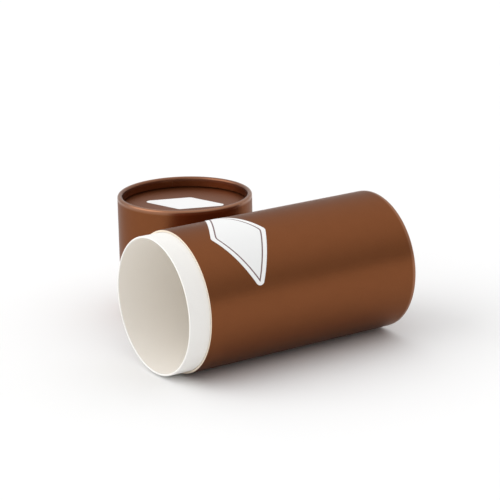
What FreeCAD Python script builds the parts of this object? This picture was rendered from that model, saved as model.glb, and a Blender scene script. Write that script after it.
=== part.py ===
"""Paper tube box with its lid off: the body lies on its side and the lid stands beside it.

Millimetres. +X runs along the body from its mouth to its base, +Y from the body to the lid, +Z up.
The origin is on the ground, under the middle of the whole group.

The body and the lid are cut from the same wound tube. At one end of each the wall is curled inwards
over the flange of a drawn card disc, which leaves a round rim above a sunk panel. The other end is
a plain cut. A liner inside the body stands out of its mouth as the neck that the lid slides over.
"""

import FreeCAD
import Part

import math
import os

from FreeCAD import Vector

# Wound tube, the same stock for body and lid
outer_diameter = 100.0
wall = 1.5
body_length = 171.5
lid_height = 90.5

# Liner
neck_length = 16.0
liner_wall = 1.4
liner_clearance = 0.15

# End discs, drawn from card with an upright flange
disc_card = 0.6
disc_clearance = 0.05
recess_depth = 8.0
leg_clearance = 1.0

# Paper labels, each a rhombus with rounded corners
label_paper = 0.15
label_glue = 0.05
label_corner = 3.4
body_label_around = 91.0
body_label_along = 44.0
body_label_from_mouth = 41.2
body_label_lean = 23.7
lid_label_long = 67.4
lid_label_short = 33.3
lid_label_turn = -46.0

# Where the lid stands: clear of the body's side, its axis this far past the body's mouth
lid_gap = 9.3
lid_from_mouth = 77.9

outer_radius = outer_diameter / 2
bore_radius = outer_radius - wall
liner_radius = bore_radius - liner_clearance

# Half the rim's width: the wall, the flange's card with a clearance on each side, and the wall again
curl_radius = wall + disc_card / 2 + disc_clearance
# The curl is round outside, and inside it is pressed to a slope that touches the same circle
curl_slope = (2 - math.sqrt(2)) * curl_radius

# Ground points, measured from under the body's mouth
lid_centre = Vector(lid_from_mouth, outer_diameter + lid_gap, 0)
group_centre = Vector((body_length - neck_length) / 2, lid_centre.y / 2, 0)

SAME_POINT = 1e-6
ORIGIN = Vector(0, 0, 0)
X_AXIS = Vector(1, 0, 0)
Z_AXIS = Vector(0, 0, 1)


def bend(before, corner, after, radius):
    """Start, middle and end of the arc that rounds a corner between two straight runs."""
    to_before = (before - corner).normalize()
    to_after = (after - corner).normalize()
    half_angle = to_before.getAngle(to_after) / 2
    tangent = radius / math.tan(half_angle)
    rise = radius / math.sin(half_angle) - radius
    inward = (to_before + to_after).normalize()
    return corner + to_before * tangent, corner + inward * rise, corner + to_after * tangent


def bends(corners):
    """The bend at each corner of a closed outline, in order."""
    points = [Vector(x, y, 0) for x, y, _ in corners]
    radii = [radius for _, _, radius in corners]
    before = points[-1:] + points[:-1]
    after = points[1:] + points[:1]
    return [bend(*around) for around in zip(before, points, after, radii)]


def outline(corners):
    """Flat face from corners, each an (x, y, radius) that is rounded unless its radius is 0."""
    edges = []
    arcs = bends(corners)
    for (_, _, radius), (start, middle, end), (next_start, _, _) in zip(corners, arcs, arcs[1:] + arcs[:1]):
        if radius:
            edges.append(Part.Arc(start, middle, end).toShape())
        if end.distanceToPoint(next_start) > SAME_POINT:
            edges.append(Part.makeLine(end, next_start))
    return Part.Face(Part.Wire(edges))


def turned(corners):
    """Solid of revolution about Z from corners that give radius and height."""
    section = outline(corners)
    section.rotate(ORIGIN, X_AXIS, 90)
    return section.revolve(ORIGIN, Z_AXIS, 360)


def curled_tube(length):
    """Wound tube, cut plain at z = 0 and curled inwards at z = length, tight over a flange's edge."""
    leg_inside = outer_radius - 2 * curl_radius
    leg_outside = leg_inside + wall
    leg_end = length - recess_depth + leg_clearance
    return turned([
        (outer_radius, 0, 0),
        (outer_radius, length, curl_radius),
        (leg_inside + curl_slope, length, 0),
        (leg_inside, length - curl_slope, 0),
        (leg_inside, leg_end, 0),
        (leg_outside, leg_end, 0),
        (leg_outside, length - wall, 0),
        (bore_radius, length - wall, 0),
        (bore_radius, 0, 0),
    ])


def disc_inner_face(length):
    """Height of the disc's face that looks into the tube."""
    return length - recess_depth - disc_card


def end_disc(length):
    """Drawn card disc that closes a curled tube, its flange standing inside the curl."""
    flange_outside = bore_radius - disc_clearance
    flange_inside = flange_outside - disc_card
    flange_tip = length - wall - disc_clearance
    return turned([
        (0, disc_inner_face(length), 0),
        (flange_outside, disc_inner_face(length), 0),
        (flange_outside, flange_tip, 0),
        (flange_inside, flange_tip, 0),
        (flange_inside, length - recess_depth, 0),
        (0, length - recess_depth, 0),
    ])


def neck_liner():
    """Card tube that stands on the base disc and comes out of the body's mouth as the neck."""
    return turned([
        (liner_radius, -neck_length, 0),
        (liner_radius, disc_inner_face(body_length), 0),
        (liner_radius - liner_wall, disc_inner_face(body_length), 0),
        (liner_radius - liner_wall, -neck_length, 0),
    ])


def rhombus(length, width):
    """Corners of a label, its length along X and its width along Y."""
    return [
        (length / 2, 0, label_corner),
        (0, width / 2, label_corner),
        (-length / 2, 0, label_corner),
        (0, -width / 2, label_corner),
    ]


def flat_sheet(corners, height):
    """Solid of a label lying flat, its underside at this height."""
    underside = outline(corners)
    underside.translate(Vector(0, 0, height))
    return underside.extrude(Vector(0, 0, label_paper))


def wrapped_sheet(corners, radius):
    """Solid of a label bent round a cylinder about Z, its X running round the wall.

    The outline is drawn on the cylinder's own surface, in angle and height. An arc stays exact
    there as a quadratic curve whose middle pole is the corner and weighs the cosine of half its turn.
    """
    surface = Part.Cylinder()
    surface.Radius = radius

    def on_wall(point):
        return FreeCAD.Base.Vector2d(point.x / outer_radius, point.y)

    edges = []
    arcs = bends(corners)
    for (x, y, _), (start, _, end), (next_start, _, _) in zip(corners, arcs, arcs[1:] + arcs[:1]):
        tip = Vector(x, y, 0)
        half_turn = math.pi / 2 - (start - tip).getAngle(end - tip) / 2
        arc = Part.Geom2d.BezierCurve2d()
        arc.setPoles([on_wall(start), on_wall(tip), on_wall(end)])
        arc.setWeight(2, math.cos(half_turn))
        edges.append(arc.toShape(surface))
        run = Part.Geom2d.Line2dSegment(on_wall(end), on_wall(next_start))
        edges.append(run.toShape(surface))
    underside = Part.Face(surface, Part.Wire(edges))
    return underside.makeOffsetShape(label_paper, SAME_POINT, fill=True)


def body_label():
    """Label wrapped round the body, its long way round the wall, leaning to the front."""
    label = wrapped_sheet(rhombus(body_label_around, body_label_along), outer_radius + label_glue)
    label.translate(Vector(0, 0, body_label_from_mouth))
    label.rotate(ORIGIN, Z_AXIS, body_label_lean)
    return label


def lid_label():
    """Label lying flat on the lid's sunk panel."""
    label = flat_sheet(rhombus(lid_label_long, lid_label_short), lid_height - recess_depth + label_glue)
    label.rotate(ORIGIN, Z_AXIS, lid_label_turn)
    return label


def lay_down(shape):
    """Lay a body piece on its side: its Z becomes X and its X comes to the top."""
    shape.rotate(ORIGIN, X_AXIS + Z_AXIS, 180)
    shape.translate(Vector(0, 0, outer_radius) - group_centre)
    return shape


def stand_beside(shape):
    """Stand a lid piece on the ground beside the body."""
    shape.translate(lid_centre - group_centre)
    return shape


PIECES = {
    "outer_tube": lay_down(curled_tube(body_length)),
    "inner_liner": lay_down(neck_liner()),
    "base_disc": lay_down(end_disc(body_length)),
    "body_label": lay_down(body_label()),
    "lid_tube": stand_beside(curled_tube(lid_height)),
    "lid_disc": stand_beside(end_disc(lid_height)),
    "lid_label": stand_beside(lid_label()),
}

os.makedirs("parts", exist_ok=True)
for name, piece in PIECES.items():
    piece.exportStep(f"parts/{name}.step")
    print(name, piece.ShapeType, piece.isValid(), f"{piece.Volume:.1f} mm3")
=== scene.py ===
"""Finish and studio for a round paper tube box: the body on its side, its lid standing beside it.

Metres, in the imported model's frame: +X along the body from its mouth to its base, +Y from the body
to the lid, +Z up. A turned piece is drawn about its own Z axis, then laid down or stood in place.
"""

import math

import bmesh
import bpy
from mathutils import Matrix, Vector


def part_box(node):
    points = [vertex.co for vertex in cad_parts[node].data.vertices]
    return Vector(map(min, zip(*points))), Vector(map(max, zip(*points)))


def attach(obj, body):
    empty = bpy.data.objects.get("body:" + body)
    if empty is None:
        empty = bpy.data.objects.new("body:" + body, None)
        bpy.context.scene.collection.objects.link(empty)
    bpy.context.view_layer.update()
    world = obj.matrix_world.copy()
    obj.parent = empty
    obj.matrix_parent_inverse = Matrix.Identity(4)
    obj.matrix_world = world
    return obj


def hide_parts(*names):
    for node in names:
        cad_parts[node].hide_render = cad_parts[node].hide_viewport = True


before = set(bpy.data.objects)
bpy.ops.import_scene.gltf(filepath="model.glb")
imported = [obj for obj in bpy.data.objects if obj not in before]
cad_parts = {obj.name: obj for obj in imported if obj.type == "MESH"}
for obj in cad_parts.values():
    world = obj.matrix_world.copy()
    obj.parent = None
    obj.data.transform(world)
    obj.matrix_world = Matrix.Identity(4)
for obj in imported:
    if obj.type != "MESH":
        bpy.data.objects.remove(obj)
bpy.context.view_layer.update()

MM = 0.001
FULL_TURN = 2 * math.pi

# Wound tube and the curl at its closed end
OUTER_RADIUS = 50 * MM
WALL = 1.5 * MM
BORE_RADIUS = OUTER_RADIUS - WALL
CURL_RADIUS = 1.85 * MM
RECESS_DEPTH = 8 * MM
LEG_CLEARANCE = 1 * MM

# Drawn card disc
DISC_CARD = 0.6 * MM
DISC_FOLD = 0.9 * MM
DISC_CLEARANCE = 0.05 * MM

# Liner, whose end is the neck
LINER_RADIUS = 48.35 * MM
LINER_WALL = 1.4 * MM
NECK_RIM = 0.6 * MM

# How far a knife-cut edge is softened
KNIFE_CUT = 0.12 * MM

# Where the wrap laps over itself, as an angle about a tube's own axis: behind and below on the body,
# behind on the lid
BODY_LAP = math.radians(-140)
LID_LAP = math.radians(70)
LAP_WIDTH = 11 * MM
LAP_PAPER = 0.12 * MM

# The lap's edge: how far it takes to rise, and how much cut paper shows there
LAP_RISE = 0.08 * MM
LAP_CUT = 0.06 * MM

# Fine pleats where the wrap is turned in over the curl
CRIMP_SIZE = 1.1 * MM
CRIMP_RELIEF = 0.05 * MM

# The body's label, before its corners are rounded, and its printed border
LABEL_AROUND = 91 * MM
LABEL_ALONG = 44 * MM
LABEL_LEAN = math.radians(23.7)
BORDER_INSET = 2.9 * MM
BORDER_WIDTH = 0.9 * MM
BORDER_BEND = 1.6 * MM

# How softly a thin line ends
LINE_BLUR = 0.05 * MM

# Segments round a turned piece, in a curl's quarter and in a small rounding
AROUND = 180
IN_CURL = 8
IN_EDGE = 3

# Points this near are one, and bends sharper than this stay crisp
SAME_PLACE = 0.005 * MM
CRISP_BEND = math.radians(40)

tube_low, tube_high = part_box("outer_tube")
liner_low, liner_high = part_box("inner_liner")
lid_low, lid_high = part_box("lid_tube")
label_low, label_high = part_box("body_label")

body_length = tube_high.x - tube_low.x
lid_height = lid_high.z - lid_low.z
neck_length = tube_low.x - liner_low.x
body_axis_y = (tube_low.y + tube_high.y) / 2
lid_axis = Vector(((lid_low.x + lid_high.x) / 2, (lid_low.y + lid_high.y) / 2, 0))
label_centre_x = (label_low.x + label_high.x) / 2

# A body piece's own Z lies along +X and its own X points up
LAID_DOWN = Matrix((
    (0, 0, 1, tube_low.x),
    (0, -1, 0, body_axis_y),
    (1, 0, 0, OUTER_RADIUS),
    (0, 0, 0, 1),
))
STOOD_BESIDE = Matrix.Translation(lid_axis)


# Finishes

class Value:
    """A number in a finish or a light. Sums on it add Math nodes."""

    def __init__(self, nodes, socket):
        self.nodes = nodes
        self.socket = socket

    def maths(self, operation, *numbers):
        """The result of a Math node on these numbers."""
        sockets = dict(enumerate(numbers))
        return self.nodes.node("ShaderNodeMath", {"operation": operation}, sockets)["Value"]

    def __add__(self, other):
        return self.maths("ADD", self, other)

    def __sub__(self, other):
        return self.maths("SUBTRACT", self, other)

    def __rsub__(self, other):
        return self.maths("SUBTRACT", other, self)

    def __mul__(self, other):
        return self.maths("MULTIPLY", self, other)

    def __abs__(self):
        return self.maths("ABSOLUTE", self)

    def root(self):
        return self.maths("SQRT", self)

    def angle_from(self, across):
        """Angle whose tangent is this number over the one across."""
        return self.maths("ARCTAN2", self, across)

    __radd__ = __add__
    __rmul__ = __mul__


class Nodes:
    """A material's or a light's nodes under way."""

    def __init__(self, tree):
        self.tree = tree
        tree.nodes.clear()

    def node(self, kind, settings, sockets):
        """Add a node, set it up, and give its outputs by name."""
        made = self.tree.nodes.new(kind)
        for name, setting in settings.items():
            setattr(made, name, setting)
        for key, given in sockets.items():
            if isinstance(key, int):
                socket = made.inputs[key]
            else:
                socket = next(s for s in made.inputs if s.enabled and s.name == key)
            if isinstance(given, Value):
                self.tree.links.new(given.socket, socket)
            else:
                socket.default_value = given
        return {s.name: Value(self, s) for s in made.outputs if s.enabled}

    def ramp(self, value, low, high):
        """0 below low, 1 above high, smooth between."""
        sockets = {"Value": value, "From Min": low, "From Max": high}
        return self.node("ShaderNodeMapRange", {"interpolation_type": "SMOOTHSTEP"}, sockets)["Result"]


class Finish(Nodes):
    """A material under way."""

    def __init__(self, name):
        self.material = bpy.data.materials.new(name)
        self.material.use_nodes = True
        super().__init__(self.material.node_tree)

    def parts(self, place):
        """The three coordinates of a place."""
        apart = self.node("ShaderNodeSeparateXYZ", {}, {"Vector": place})
        return apart["X"], apart["Y"], apart["Z"]

    def own_place(self):
        """The place on a turned piece about its own axis, before it was laid down or stood up."""
        return self.node("ShaderNodeAttribute", {"attribute_name": "own_place"}, {})["Vector"]

    def object_place(self):
        """The place in the whole model's frame."""
        return self.node("ShaderNodeTexCoord", {}, {})["Object"]

    def noise(self, place, size, detail=2.0, roughness=0.5):
        """Soft noise from 0 to 1 whose patches are about this size."""
        sockets = {"Vector": place, "Scale": 1 / size, "Detail": detail, "Roughness": roughness}
        return self.node("ShaderNodeTexNoise", {}, sockets)["Fac"]

    def noise_along(self, distance, size):
        """Noise from 0 to 1 that varies with one distance only."""
        sockets = {"W": distance, "Scale": 1 / size, "Detail": 2.0}
        return self.node("ShaderNodeTexNoise", {"noise_dimensions": "1D"}, sockets)["Fac"]

    def band(self, value, low, high, soft):
        """1 between low and high, 0 outside, with soft edges."""
        return self.ramp(value, low - soft, low) - self.ramp(value, high, high + soft)

    def blend(self, factor, first, second):
        """Colour that goes from first to second."""
        sockets = {"Factor": factor, "A": first, "B": second}
        return self.node("ShaderNodeMix", {"data_type": "RGBA"}, sockets)["Result"]

    def bump(self, height):
        """Normal of a surface raised by this height, in metres."""
        return self.node("ShaderNodeBump", {}, {"Height": height, "Distance": 1.0})["Normal"]

    def surface(self, sockets):
        """Finish the material with one Principled surface."""
        shader = self.node("ShaderNodeBsdfPrincipled", {}, sockets)["BSDF"]
        self.node("ShaderNodeOutputMaterial", {}, {"Surface": shader})
        return self.material


def colour(red, green, blue):
    """An opaque colour from its linear shares."""
    return (red, green, blue, 1)


# Brown pearl paper: its clouded ground, its fibres, the lighter tone on a curl, which is burnish and a
# painted highlight, and its cut edge
PEARL_DEEP = colour(0.188, 0.064, 0.024)
PEARL_PALE = colour(0.206, 0.071, 0.027)
PEARL_FIBRE = colour(0.243, 0.092, 0.038)
PEARL_BURNISH_AND_HIGHLIGHT = colour(0.29, 0.12, 0.056)
PEARL_CUT = colour(0.42, 0.26, 0.16)

# How much of the light pearl paper sends back at a grazing look
GRAZING = colour(0.75, 0.72, 0.70)

# Pale papers and board, each from its palest tone to its deepest
WHITE_LINING = colour(0.905, 0.89, 0.86), colour(0.87, 0.85, 0.815)
# The liner's inside: cream paper, painted paler than the outside as painted light inside the mouth
CREAM_LINING_PAINTED_LIGHTER = colour(0.96, 0.92, 0.855), colour(0.945, 0.895, 0.825)
INNER_CARD = colour(0.92, 0.85, 0.75), colour(0.89, 0.81, 0.70)
CUT_BOARD = colour(0.90, 0.81, 0.69), colour(0.80, 0.69, 0.55)
LABEL_WHITE = colour(0.90, 0.90, 0.895), colour(0.87, 0.87, 0.865)

# The bordered label's line, and the tint inside it
BORDER_INK = colour(0.16, 0.085, 0.085)
FIELD_TINT = colour(0.84, 0.845, 0.84)

FLOOR_PAPER = colour(0.92, 0.92, 0.92)


def pearl_paper(wrap, place):
    """Colour, roughness and relief of the brown pearl paper."""
    cloud = wrap.noise(place, size=9 * MM, detail=3)
    fibre = wrap.noise(place, size=0.35 * MM, detail=4, roughness=0.7)
    ground = wrap.blend(cloud, PEARL_DEEP, PEARL_PALE)
    brown = wrap.blend(wrap.ramp(fibre, 0.45, 0.85), ground, PEARL_FIBRE)
    roughness = 0.31 + fibre * 0.1
    relief = fibre * (0.012 * MM)
    return brown, roughness, relief


def tube_wrap(name, length, lap_angle):
    """Pearl paper round a tube, lapped along its length, and burnished where the wall is curled in,
    where a lighter tone is also a painted highlight.
    """
    wrap = Finish(name)
    place = wrap.own_place()
    x, y, z = wrap.parts(place)
    angle = y.angle_from(x)
    radius = (x * x + y * y).root()
    brown, roughness, relief = pearl_paper(wrap, place)

    on_curl = wrap.ramp(z, length - 2.2 * CURL_RADIUS, length - CURL_RADIUS)
    turned_in = wrap.ramp(OUTER_RADIUS - radius, 0.6 * CURL_RADIUS, 1.6 * CURL_RADIUS)
    crimp = wrap.noise_along(angle * OUTER_RADIUS, CRIMP_SIZE) * on_curl * turned_in
    # The curl's outer side is painted lighter: partly burnish, partly a painted highlight
    brown = wrap.blend(on_curl * (1 - turned_in), brown, PEARL_BURNISH_AND_HIGHLIGHT)

    # The lap steps up at the wrap's edge and dies away over the edge beneath it
    past_lap = (angle - lap_angle) * OUTER_RADIUS
    lap = wrap.ramp(past_lap, 0, LAP_RISE) - wrap.ramp(past_lap, 0.7 * LAP_WIDTH, LAP_WIDTH)
    lap = lap * (1 - on_curl)
    cut_edge = wrap.band(past_lap, 0, LAP_CUT, LINE_BLUR) * (1 - on_curl)

    return wrap.surface({
        "Base Color": wrap.blend(cut_edge * 0.7, brown, PEARL_CUT),
        "Metallic": 1.0,
        "Specular Tint": GRAZING,
        "Roughness": roughness - on_curl * 0.06,
        "Coat Weight": on_curl * 0.7,
        "Coat Roughness": 0.35,
        "Normal": wrap.bump(relief + lap * LAP_PAPER + crimp * CRIMP_RELIEF),
    })


def panel_wrap():
    """Pearl paper on the drawn discs, left rougher than on the tubes."""
    wrap = Finish("panel_wrap")
    brown, roughness, relief = pearl_paper(wrap, wrap.own_place())
    return wrap.surface({
        "Base Color": brown,
        "Metallic": 1.0,
        "Roughness": roughness + 0.08,
        "Normal": wrap.bump(relief),
    })


def lining_paper(name, pale, deep):
    """Smooth pale paper, a little uneven in tone."""
    lining = Finish(name)
    place = lining.own_place()
    cloud = lining.noise(place, size=15 * MM)
    fibre = lining.noise(place, size=0.5 * MM, detail=4, roughness=0.6)
    return lining.surface({
        "Base Color": lining.blend(cloud * 0.6 + fibre * 0.4, deep, pale),
        "Roughness": 0.6 + fibre * 0.1,
        "Normal": lining.bump(fibre * (0.015 * MM)),
    })


def cut_board(name, pale, deep):
    """Knife-cut end of wound board, with its plies as fine rings."""
    board = Finish(name)
    place = board.own_place()
    x, y, _ = board.parts(place)
    ply = board.noise_along((x * x + y * y).root(), size=0.22 * MM)
    fibre = board.noise(place, size=0.3 * MM, detail=3)
    grain = ply * 0.65 + fibre * 0.35
    return board.surface({
        "Base Color": board.blend(board.ramp(grain, 0.35, 0.65), deep, pale),
        "Roughness": 0.85,
        "Normal": board.bump(grain * (0.06 * MM)),
    })


def label_paper(label):
    """Tone, roughness and relief of white label paper."""
    pale, deep = LABEL_WHITE
    fibre = label.noise(label.object_place(), size=0.4 * MM, detail=3, roughness=0.6)
    white = label.blend(fibre, deep, pale)
    roughness = 0.45 + fibre * 0.1
    relief = fibre * (0.008 * MM)
    return white, roughness, relief


def bare_label():
    """White label paper with nothing on it."""
    label = Finish("bare_label")
    white, roughness, relief = label_paper(label)
    return label.surface({
        "Base Color": white,
        "Roughness": roughness,
        "Normal": label.bump(relief),
    })


def bordered_label():
    """White label paper with a thin dark line that follows the rhombus inside its edge."""
    label = Finish("bordered_label")
    white, roughness, relief = label_paper(label)
    x, y, z = label.parts(label.object_place())
    lean = (body_axis_y - y).angle_from(z - OUTER_RADIUS)
    around = (lean - LABEL_LEAN) * OUTER_RADIUS
    along = abs(x - label_centre_x)

    # Distance in from the rhombus's sides, which meet in a bend across the label and sharp round it
    bent_around = (around * around + BORDER_BEND ** 2).root()
    share = bent_around * (2 / LABEL_AROUND) + along * (2 / LABEL_ALONG)
    side_depth = LABEL_AROUND * LABEL_ALONG / (2 * math.hypot(LABEL_AROUND, LABEL_ALONG))
    inset = (1 - share) * side_depth
    line = label.band(inset, BORDER_INSET, BORDER_INSET + BORDER_WIDTH, LINE_BLUR)
    field = label.ramp(inset, BORDER_INSET, BORDER_INSET + BORDER_WIDTH)
    paper = label.blend(field * 0.5, white, FIELD_TINT)
    return label.surface({
        "Base Color": label.blend(line, paper, BORDER_INK),
        "Roughness": roughness,
        "Normal": label.bump(relief),
    })


# Sections of the turned pieces, as corners of (radius, height, rounding)

def curled_tube(length):
    """The wound tube's wall, curled in at its top."""
    leg_radius = OUTER_RADIUS - 2 * CURL_RADIUS
    leg_end = length - RECESS_DEPTH + LEG_CLEARANCE
    return [
        (OUTER_RADIUS, 0, KNIFE_CUT),
        (OUTER_RADIUS, length, CURL_RADIUS),
        (leg_radius, length, CURL_RADIUS),
        (leg_radius, leg_end, KNIFE_CUT),
        (leg_radius + WALL, leg_end, KNIFE_CUT),
        (leg_radius + WALL, length - WALL, 0),
        (BORE_RADIUS, length - WALL, 0),
        (BORE_RADIUS, 0, KNIFE_CUT),
    ]


def drawn_disc(length):
    """The card disc, its flange standing up inside the curl."""
    outside = BORE_RADIUS - DISC_CLEARANCE
    inside = outside - DISC_CARD
    bottom = length - RECESS_DEPTH - DISC_CARD
    top = length - WALL - DISC_CLEARANCE
    return [
        (0, bottom, 0),
        (outside, bottom, DISC_FOLD),
        (outside, top, 0),
        (inside, top, 0),
        (inside, bottom + DISC_CARD, DISC_FOLD - DISC_CARD / 2),
        (0, bottom + DISC_CARD, 0),
    ]


def neck_liner():
    """The liner, from its rim outside the mouth down to the base disc."""
    inside = LINER_RADIUS - LINER_WALL
    end = liner_high.x - tube_low.x
    return [
        (LINER_RADIUS, -neck_length, NECK_RIM),
        (LINER_RADIUS, end, 0),
        (inside, end, 0),
        (inside, -neck_length, NECK_RIM),
    ]


# Which finish a face has, by the radius and height of its middle

WRAP, LINING, BOARD = range(3)


def tube_zone(length):
    """A curled tube's wrap, lining and cut ends."""
    def zone(radius, height):
        over_curl = max(height - (length - CURL_RADIUS), 0)
        from_curl = math.hypot(radius - (OUTER_RADIUS - CURL_RADIUS), over_curl)
        if from_curl > CURL_RADIUS - KNIFE_CUT:
            return WRAP
        leg_end = length - RECESS_DEPTH + LEG_CLEARANCE
        if height < KNIFE_CUT or abs(height - leg_end) < KNIFE_CUT:
            return BOARD
        return LINING
    return zone


def disc_zone(length):
    """A disc's wrapped panel, and the lining behind it and round its flange."""
    def zone(radius, height):
        middle = length - RECESS_DEPTH - DISC_CARD / 2
        return LINING if height < middle or radius > BORE_RADIUS - DISC_CARD / 2 else WRAP
    return zone


OUTSIDE, INSIDE, RIM = range(3)


def liner_zone(radius, height):
    """The liner's rim and its two faces."""
    if height < NECK_RIM - neck_length:
        return RIM
    return OUTSIDE if radius > LINER_RADIUS - LINER_WALL / 2 else INSIDE


# Turned pieces

def ring_edges(bm, radius, height):
    """The edges of the ring that a corner drew."""
    def on_ring(vert):
        miss = Vector((math.hypot(vert.co.x, vert.co.y) - radius, vert.co.z - height))
        return miss.length < SAME_PLACE
    return [edge for edge in bm.edges if all(on_ring(vert) for vert in edge.verts)]


def spin_section(bm, corners):
    """Turn a section about Z, closed by itself or by the axis, and round its corners."""
    verts = [bm.verts.new((radius, 0, height)) for radius, height, _ in corners]
    pairs = zip(verts, verts[1:] + verts[:1])
    edges = [bm.edges.new(ends) for ends in pairs if any(vert.co.x for vert in ends)]
    bmesh.ops.spin(bm, geom=verts + edges, cent=(0, 0, 0), axis=(0, 0, 1),
                   angle=FULL_TURN, steps=AROUND, use_merge=True)
    bmesh.ops.remove_doubles(bm, verts=bm.verts, dist=SAME_PLACE)
    for radius, height, rounding in corners:
        if rounding:
            segments = IN_CURL if rounding == CURL_RADIUS else IN_EDGE
            bmesh.ops.bevel(bm, geom=ring_edges(bm, radius, height), offset=rounding,
                            offset_type="OFFSET", segments=segments, profile=0.5,
                            affect="EDGES", material=-1)
    bmesh.ops.remove_doubles(bm, verts=bm.verts, dist=SAME_PLACE)
    bmesh.ops.recalc_face_normals(bm, faces=bm.faces)


def turn(name, corners, placing, finishes, zone):
    """A turned piece set in place, each face with the finish that its zone gives."""
    bm = bmesh.new()
    spin_section(bm, corners)
    own_place = bm.verts.layers.float_vector.new("own_place")
    for vert in bm.verts:
        vert[own_place] = vert.co
    for face in bm.faces:
        face.smooth = True
        middle = face.calc_center_median()
        face.material_index = zone(math.hypot(middle.x, middle.y), middle.z)
    bm.transform(placing)
    mesh = bpy.data.meshes.new(name)
    bm.to_mesh(mesh)
    bm.free()
    mesh.set_sharp_from_angle(angle=CRISP_BEND)
    for finish in finishes:
        mesh.materials.append(finish)
    piece = bpy.data.objects.new(name, mesh)
    bpy.context.scene.collection.objects.link(piece)
    piece.modifiers.new("even_shading", "WEIGHTED_NORMAL").keep_sharp = True
    return piece


def stand_for(piece, node, body):
    """Let a piece stand for a CAD node and move with its body."""
    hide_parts(node)
    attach(piece, body)


def add_box_body(panel, white, board):
    """The body's wall, base and liner."""
    wrap = tube_wrap("body_wrap", body_length, BODY_LAP)
    wall = turn("tube_wall", curled_tube(body_length), LAID_DOWN,
                (wrap, white, board), tube_zone(body_length))
    stand_for(wall, "outer_tube", "box")

    card = lining_paper("inner_card", *INNER_CARD)
    base = turn("base_panel", drawn_disc(body_length), LAID_DOWN,
                (panel, card), disc_zone(body_length))
    stand_for(base, "base_disc", "box")

    # The liner's inner face is painted paler than its outside, as painted light inside the mouth
    cream_painted_lighter = lining_paper("cream_lining_painted_lighter", *CREAM_LINING_PAINTED_LIGHTER)
    rim = cut_board("pale_board", *WHITE_LINING)
    liner = turn("neck_liner", neck_liner(), LAID_DOWN, (white, cream_painted_lighter, rim), liner_zone)
    stand_for(liner, "inner_liner", "box")


def add_lid(panel, white, board):
    """The lid's wall and panel."""
    wrap = tube_wrap("lid_wrap", lid_height, LID_LAP)
    wall = turn("lid_wall", curled_tube(lid_height), STOOD_BESIDE,
                (wrap, white, board), tube_zone(lid_height))
    stand_for(wall, "lid_tube", "lid")

    disc = turn("lid_panel", drawn_disc(lid_height), STOOD_BESIDE,
                (panel, white), disc_zone(lid_height))
    stand_for(disc, "lid_disc", "lid")


def finish_label(node, finish):
    """Give a CAD label its paper."""
    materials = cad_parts[node].data.materials
    materials.clear()
    materials.append(finish)


shared_finishes = (
    panel_wrap(),
    lining_paper("white_lining", *WHITE_LINING),
    cut_board("cut_board", *CUT_BOARD),
)
add_box_body(*shared_finishes)
add_lid(*shared_finishes)
finish_label("body_label", bordered_label())
finish_label("lid_label", bare_label())


# Studio

FLOOR_RADIUS = 15
BACKDROP_HEIGHT = 2.1
BACKDROP_BEND = 1.65
IN_BACKDROP = 12

# Cosine of the angle from its brightest spot past which the sky gets no dimmer
SKY_DIMMEST = -0.3


def add_floor():
    """Pale paper that turns up into a low backdrop, far off all round."""
    mesh = bpy.data.meshes.new("floor")
    bm = bmesh.new()
    bmesh.ops.create_circle(bm, cap_ends=True, segments=AROUND, radius=FLOOR_RADIUS)
    turn_up = bm.edges[:]
    backdrop = bmesh.ops.extrude_edge_only(bm, edges=turn_up)["geom"]
    top = [part for part in backdrop if isinstance(part, bmesh.types.BMVert)]
    bmesh.ops.translate(bm, verts=top, vec=(0, 0, BACKDROP_HEIGHT))
    bmesh.ops.bevel(bm, geom=turn_up, offset=BACKDROP_BEND, offset_type="OFFSET",
                    segments=IN_BACKDROP, profile=0.5, affect="EDGES", material=-1)
    for face in bm.faces:
        face.smooth = True
    bm.to_mesh(mesh)
    bm.free()
    floor = bpy.data.objects.new("floor", mesh)
    bpy.context.scene.collection.objects.link(floor)
    paper = Finish("floor_paper")
    shader = paper.node("ShaderNodeBsdfDiffuse", {}, {"Color": FLOOR_PAPER})["BSDF"]
    paper.node("ShaderNodeOutputMaterial", {}, {"Surface": shader})
    mesh.materials.append(paper.material)


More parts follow.
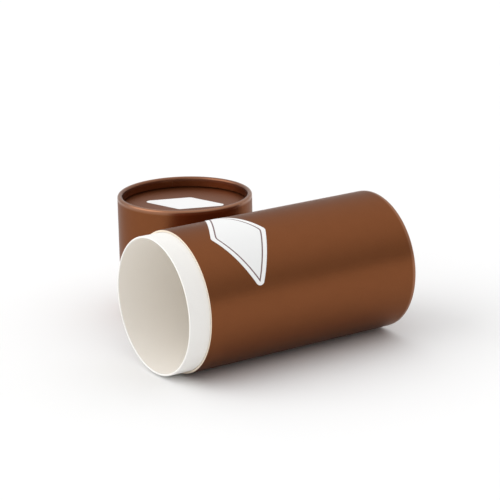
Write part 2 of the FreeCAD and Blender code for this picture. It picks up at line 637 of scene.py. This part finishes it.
def direction(azimuth, elevation):
    """Unit vector towards these angles, the azimuth from +X towards +Y."""
    level = math.cos(math.radians(elevation))
    return Vector((
        level * math.cos(math.radians(azimuth)),
        level * math.sin(math.radians(azimuth)),
        math.sin(math.radians(elevation)),
    ))


def add_sky(low, high, brightest):
    """Light from all round, the brighter the nearer to one direction."""
    world = bpy.data.worlds.new("studio")
    world.use_nodes = True
    bpy.context.scene.world = world
    sky = Nodes(world.node_tree)
    look = sky.node("ShaderNodeTexCoord", {}, {})["Generated"]
    nearness = sky.node("ShaderNodeVectorMath", {"operation": "DOT_PRODUCT"}, {0: look, 1: brightest})
    strength = sky.ramp(nearness["Value"], SKY_DIMMEST, 1) * (high - low) + low
    light = sky.node("ShaderNodeBackground", {}, {"Color": colour(1, 1, 1), "Strength": strength})
    sky.node("ShaderNodeOutputWorld", {}, {"Surface": light["Background"]})


def add_softbox(name, towards, strength, width):
    """A wide soft lamp, far off in one direction."""
    lamp = bpy.data.lights.new(name, "SUN")
    lamp.energy = strength * math.pi
    lamp.angle = math.radians(width)
    softbox = bpy.data.objects.new(name, lamp)
    softbox.rotation_euler = towards.to_track_quat("Z", "Y").to_euler()
    bpy.context.scene.collection.objects.link(softbox)


def add_camera():
    """A long lens before the mouth, looking down along the body's front."""
    camera = bpy.data.cameras.new("camera")
    camera.lens = 142.05
    camera.sensor_width = 36
    camera.clip_start = 0.05
    stand = bpy.data.objects.new("camera", camera)
    place = Vector((-0.7304, -1.1555, 0.4749))
    ahead = Vector((0.5454, 0.8382, 0)).normalized()
    pitch = math.radians(-16.91)
    roll = math.radians(-1.02)
    look = ahead * math.cos(pitch) + Vector((0, 0, math.sin(pitch)))
    turned = look.to_track_quat("-Z", "Y").to_matrix() @ Matrix.Rotation(roll, 3, "Z")
    stand.matrix_world = Matrix.Translation(place) @ turned.to_4x4()
    bpy.context.scene.collection.objects.link(stand)
    bpy.context.scene.camera = stand


add_floor()
add_sky(low=0.15, high=1.12, brightest=direction(60, 78))
add_softbox("mouth_softbox", direction(160, 30), strength=0.38, width=60)
add_softbox("front_softbox", direction(208, 16), strength=0.07, width=40)
add_camera()
bpy.context.scene.view_settings.view_transform = "Standard"
